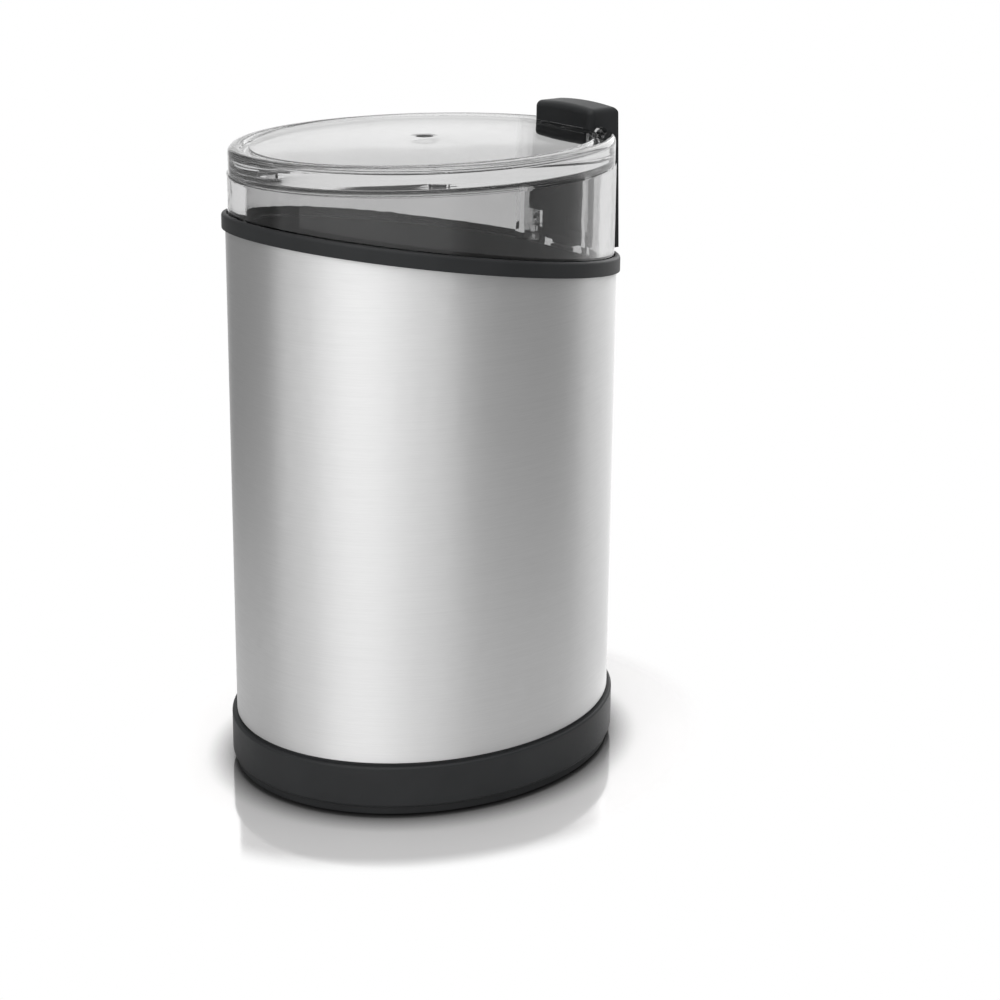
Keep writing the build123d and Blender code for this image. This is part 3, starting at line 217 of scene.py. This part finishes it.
def dress_grinder():
    dress(brushed_sheet(), "outer_sleeve")
    dress(clear_san(), "lid_shell")
    # Black ABS: moulded in a finely eroded tool, so it is a dull satin, a little paler where it turns away
    dress(surface("black_abs", ("#242526", "#292A2B"), (0.45, 0.51), (0.5, 0.5, 0.5),
                  cloud_mm=(14, 14, 14), relief_mm=0.002, IOR=1.53, Specular_IOR_Level=0.13)[0],
          "rim_collar", "base_ring", "bottom_cover", "start_button")
    # Glass-filled nylon: black and duller, with the pale fibre's faint bloom
    dress(surface("black_glass_filled_nylon", ("#161718", "#1D1E20"), (0.50, 0.65), (0.6, 0.6, 0.6),
                  cloud_mm=(8, 8, 8), relief_mm=0.02, IOR=1.53)[0],
          "chassis", "switch_body", "switch_pushrod", "brush_caps")
    # Natural nylon: ivory, waxy and even
    dress(surface("ivory_nylon", ("#CFC8B2", "#DAD4C2"), (0.45, 0.60), (0.6, 0.6, 0.6),
                  cloud_mm=(8, 8, 8), relief_mm=0.02, IOR=1.53)[0],
          "upper_bracket", "lower_bracket", "terminal_block", "switch_plunger")
    # Pressed carbon: dull black with grey rubbed grains
    dress(surface("carbon_block", ("#19191A", "#262627"), (0.60, 0.80), (0.3, 0.3, 0.3),
                  cloud_mm=(3, 3, 3), relief_mm=0.02, IOR=1.5)[0], "carbon_brushes")
    # Black rubber: dull, a little dusty, with a sanded mould's grain
    dress(surface("black_rubber", ("#141414", "#1E1E1D"), (0.70, 0.90), (0.4, 0.4, 0.4),
                  cloud_mm=(5, 5, 5), relief_mm=0.04, IOR=1.52, Specular_IOR_Level=0.3)[0],
          "rubber_feet", "cord_gland", "shaft_seal", "motor_dampers")
    # Silicone: grey, soft and matt
    dress(surface("grey_silicone", ("#6E6F70", "#7C7D7E"), (0.60, 0.75), (0.4, 0.4, 0.4),
                  cloud_mm=(5, 5, 5), relief_mm=0.03, IOR=1.41)[0], "bowl_gasket")
    # Wire insulation: red PVC, drawn smooth, with a low sheen
    dress(surface("red_pvc", ("#7E1712", "#8E2119"), (0.35, 0.50), (0.5, 0.5, 0.5),
                  cloud_mm=(4, 4, 4), relief_mm=0.01, IOR=1.53)[0], "lead_wires")
    # Bowl: drawn stainless, polished on a wheel that leaves faint level rings
    dress(surface("satin_stainless_bowl", ("#B9B9B8", "#C8C8C7"), (0.26, 0.36), (60, 60, 0.6),
                  relief_mm=0.003, Metallic=1.0)[0], "grinding_bowl")
    # Blade: ground across its width, with bright grinding lines
    dress(surface("ground_blade_steel", ("#B4B5B7", "#CACBCC"), (0.18, 0.30), (0.3, 9, 9),
                  relief_mm=0.008, Metallic=1.0)[0], "blade", "blade_nut")
    # Shaft: ground round, so the lines run level
    dress(surface("ground_shaft_steel", ("#A9AAAC", "#BEBFC0"), (0.20, 0.32), (3, 3, 0.3),
                  relief_mm=0.006, Metallic=1.0)[0], "drive_shaft", "lever_pin")
    # Screws: nickel plate over pressed steel, soft and slightly warm
    dress(surface("nickel_plated_steel", ("#A5A4A0", "#BDBCB8"), (0.22, 0.38), (1.5, 1.5, 1.5),
                  relief_mm=0.01, Metallic=1.0)[0],
          "cover_screws", "switch_screws", "motor_bolts", "deck_screws")
    # Springs: drawn wire, bright and cool
    dress(surface("spring_steel_wire", ("#9EA0A3", "#BBBDBF"), (0.18, 0.30), (0.8, 0.8, 0.8),
                  relief_mm=0.006, Metallic=1.0)[0],
          "button_spring", "pushrod_spring", "brush_springs", "switch_lever")
    # Bearings: sintered bronze, open-grained and oily brown
    dress(surface("sintered_bronze", ("#8C6237", "#A67A48"), (0.42, 0.60), (0.5, 0.5, 0.5),
                  relief_mm=0.03, Metallic=1.0)[0], "upper_bearing", "lower_bearing", "thrust_washer")
    # Contacts: rolled brass, yellow with darker rolling bands
    dress(surface("contact_brass", ("#B4934A", "#C9AA62"), (0.22, 0.36), (2, 2, 0.6),
                  relief_mm=0.008, Metallic=1.0)[0], "switch_terminals", "brush_holders")
    # Commutator: turned copper, with tracks rubbed by the brushes
    dress(surface("commutator_copper", ("#A85C38", "#C27A50"), (0.22, 0.36), (3, 3, 0.3),
                  relief_mm=0.008, Metallic=1.0)[0], "commutator")
    # Windings: enamelled wire in close turns 0.6 mm high, red-brown under clear lacquer
    dress(surface("enamelled_copper_wire", ("#7A3A1E", "#B5673A"), (0.28, 0.42), (2, 2, 2),
                  relief_mm=0.1, bands_mm=0.6, Metallic=1.0, Coat_Weight=0.4, Coat_Roughness=0.1)[0],
          "field_coils", "armature_winding")
    # Cores: stacked stampings, drawn 1 mm thick so that their edges show; the real ones are 0.5 mm
    dress(surface("laminated_electrical_steel", ("#55575A", "#7D7F82"), (0.35, 0.55), (2, 2, 2),
                  relief_mm=0.05, bands_mm=1.0, Metallic=1.0)[0], "stator_core", "armature_core")


def shorten_with_button(node, body):
    """Puts a copy of a spring in its place, carried by the body, and hides the solid."""
    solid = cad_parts[node]
    coil = bpy.data.objects.new(node + "_coil", solid.data.copy())
    bpy.context.scene.collection.objects.link(coil)
    coil.matrix_world = solid.matrix_world
    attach(coil, body)
    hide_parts(node)
    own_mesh(coil)


def seen_rays(tree):
    """1 for rays that show the background: from the camera, in metal and through the lid."""
    path = add(tree, "ShaderNodeLightPath")
    mirror = add(tree, "ShaderNodeMath", {
        0: path.outputs["Is Camera Ray"], 1: path.outputs["Is Glossy Ray"]}, operation="MAXIMUM")
    return add(tree, "ShaderNodeMath", {
        0: mirror.outputs[0], 1: path.outputs["Is Transmission Ray"]}, operation="MAXIMUM").outputs[0]


def make_world():
    world = bpy.data.worlds.new("white_studio")
    world.use_nodes = True
    tree = world.node_tree
    tree.nodes.clear()
    dim = add(tree, "ShaderNodeBackground", {"Color": linear(WHITE), "Strength": AMBIENT})
    white = add(tree, "ShaderNodeBackground", {"Color": linear(WHITE), "Strength": 1.0})
    mix = add(tree, "ShaderNodeMixShader", {
        0: seen_rays(tree), 1: dim.outputs[0], 2: white.outputs[0]})
    add(tree, "ShaderNodeOutputWorld", {"Surface": mix.outputs[0]})
    bpy.context.scene.world = world


def make_floor():
    bpy.ops.mesh.primitive_circle_add(vertices=FLOOR_SIDES, radius=FLOOR_RADIUS, fill_type="NGON")
    floor = bpy.context.object
    floor.name = "studio_floor"
    material, tree, shader = surface(
        "white_acrylic_floor", ("#F7F6F6", "#F9F8F8"), (0.09, 0.11), (40, 40, 40), Metallic=FLOOR_MIRROR)
    # Painted contact shade: ambient occlusion mixes a grey into the floor's colour close to the base
    open_sky = add(tree, "ShaderNodeAmbientOcclusion", {"Distance": CONTACT_SHADE_REACH}).outputs["AO"]
    painted_contact_shade = add(tree, "ShaderNodeMapRange", {
        "Value": open_sky, "From Min": CONTACT_SHADE_RANGE[0], "From Max": CONTACT_SHADE_RANGE[1]})
    pale = shader.inputs["Base Color"].links[0].from_socket
    shaded = add(tree, "ShaderNodeMix", {
        0: painted_contact_shade.outputs[0], 6: linear(CONTACT_PAINTED_SHADE_COLOUR), 7: pale}, data_type="RGBA")
    tree.links.new(shaded.outputs[2], shader.inputs["Base Color"])
    place = add(tree, "ShaderNodeTexCoord").outputs["Object"]
    low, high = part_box("base_ring")
    outlines = (2 / (high[0] - low[0]), 2 / (high[1] - low[1]), 0)
    scaled = add(tree, "ShaderNodeVectorMath", {0: place, 1: outlines}, operation="MULTIPLY")
    away = add(tree, "ShaderNodeVectorMath", {0: scaled.outputs["Vector"]}, operation="LENGTH")
    fade = add(tree, "ShaderNodeMapRange", {
        "Value": away.outputs["Value"], "From Min": FLOOR_FADE[0], "From Max": FLOOR_FADE[1]},
        interpolation_type="SMOOTHSTEP").outputs["Result"]
    glow = add(tree, "ShaderNodeEmission", {"Color": linear(WHITE), "Strength": 1.0})
    mix = add(tree, "ShaderNodeMixShader", {
        0: fade, 1: shader.outputs["BSDF"], 2: glow.outputs[0]})
    output = next(n for n in tree.nodes if n.type == "OUTPUT_MATERIAL")
    tree.links.new(mix.outputs[0], output.inputs["Surface"])
    floor.data.materials.append(material)


def around_grinder(azimuth, elevation, distance):
    """Place at a distance from the middle of the body; azimuth 0 is in front and 90 at the button end."""
    turn, lift = math.radians(azimuth), math.radians(elevation)
    level = distance * math.cos(lift)
    return AIM + Vector((level * math.sin(turn), -level * math.cos(turn), distance * math.sin(lift)))


def face_grinder(thing):
    thing.rotation_euler = (AIM - thing.location).to_track_quat("-Z", "Y").to_euler()


def add_softbox(name, azimuth, elevation, distance, size, watts):
    lamp = bpy.data.lights.new(name, "AREA")
    lamp.shape = "RECTANGLE"
    lamp.size, lamp.size_y = size
    lamp.energy = watts
    thing = bpy.data.objects.new(name, lamp)
    bpy.context.scene.collection.objects.link(thing)
    thing.location = around_grinder(azimuth, elevation, distance)
    thing.visible_transmission = False
    face_grinder(thing)


def add_card(name, azimuth, elevation, distance, size, level, core, in_clear=False):
    """Card that faces the grinder, with soft upright edges; core is its even middle.

    Only reflections show it, or where in_clear is set only what the clear lid bends.
    """
    bpy.ops.mesh.primitive_plane_add(size=1)
    card = bpy.context.object
    card.name = name
    card.location = around_grinder(azimuth, elevation, distance)
    face_grinder(card)
    card.scale = (*size, 1)
    material = bpy.data.materials.new(name)
    material.use_nodes = True
    tree = material.node_tree
    tree.nodes.clear()
    place = add(tree, "ShaderNodeTexCoord").outputs["Object"]
    across = add(tree, "ShaderNodeSeparateXYZ", {0: place}).outputs["X"]
    aside = add(tree, "ShaderNodeMath", {0: across}, operation="ABSOLUTE").outputs[0]
    fade = add(tree, "ShaderNodeMapRange", {
        "Value": aside, "From Min": core / 2, "From Max": CARD_END}, interpolation_type="SMOOTHSTEP")
    glow = add(tree, "ShaderNodeEmission", {"Color": linear(WHITE), "Strength": level})
    clear = add(tree, "ShaderNodeBsdfTransparent")
    mix = add(tree, "ShaderNodeMixShader", {
        0: fade.outputs["Result"], 1: glow.outputs[0], 2: clear.outputs[0]})
    add(tree, "ShaderNodeOutputMaterial", {"Surface": mix.outputs[0]})
    card.data.materials.append(material)
    card.visible_camera = False
    card.visible_diffuse = False
    card.visible_glossy = not in_clear
    card.visible_transmission = in_clear
    card.visible_shadow = False


def make_camera():
    camera = bpy.data.objects.new("camera", bpy.data.cameras.new("camera"))
    bpy.context.scene.collection.objects.link(camera)
    turn = math.radians(CAMERA_AZIMUTH)
    away = Vector((-math.sin(turn), -math.cos(turn), 0)) * CAMERA_DISTANCE
    camera.location = (away.x, away.y, CAMERA_HEIGHT)
    camera.rotation_euler = (math.radians(90 - CAMERA_TILT), 0, -turn)
    camera.data.sensor_width = SENSOR_WIDTH
    camera.data.lens = SENSOR_WIDTH * FOCAL_PIXELS / FRAME_PIXELS
    camera.data.shift_x = 0.5 - CENTRE_PIXEL[0] / FRAME_PIXELS
    camera.data.shift_y = CENTRE_PIXEL[1] / FRAME_PIXELS - 0.5
    camera.data.clip_start = NEAREST_SEEN
    bpy.context.scene.camera = camera


AIM = Vector((0, 0, (cad_box[0].z + cad_box[1].z) / 2))
bpy.ops.object.select_all(action="DESELECT")
bpy.context.scene.view_settings.view_transform = "Standard"
bpy.context.scene.cycles.max_bounces = LIGHT_BOUNCES
bpy.context.scene.cycles.transmission_bounces = LIGHT_BOUNCES
bpy.context.scene.cycles.glossy_bounces = LIGHT_BOUNCES
make_camera()
dress_grinder()
shorten_with_button("button_spring", "lid")
shorten_with_button("pushrod_spring", "housing")
make_world()
make_floor()

# Softboxes light the grinder; cards give the steel, the black and the lid what they mirror or bend
add_softbox("key_softbox", azimuth=-57, elevation=35, distance=1.1, size=(0.7, 0.8), watts=5.0)
add_softbox("top_softbox", azimuth=20, elevation=80, distance=1.2, size=(0.9, 0.9), watts=7.0)
add_softbox("rim_softbox", azimuth=115, elevation=25, distance=1.1, size=(0.5, 0.8), watts=2.5)
add_card("bright_card", azimuth=-55, elevation=0, distance=0.22, size=(0.40, CARD_HEIGHT),
         level=1.20, core=0.10)
add_card("front_flag", azimuth=30, elevation=0, distance=0.20, size=(0.36, CARD_HEIGHT),
         level=0.33, core=0.53)
add_card("left_flag", azimuth=-145, elevation=0, distance=0.20, size=(0.36, CARD_HEIGHT),
         level=0.38, core=0.66)
add_card("back_card", azimuth=150.9, elevation=0, distance=0.433, size=(0.20, CARD_HEIGHT),
         level=1.22, core=0.97)
add_card("top_card", azimuth=0, elevation=85, distance=0.55, size=(0.5, 0.5), level=3.5, core=0.8)
add_card("ceiling_flag", azimuth=0, elevation=90, distance=0.52, size=(4.0, 4.0), level=0.02, core=1.0,
         in_clear=True)
add_card("side_flag", azimuth=-127, elevation=20, distance=0.40, size=(0.50, 0.60), level=0.02, core=1.0,
         in_clear=True)
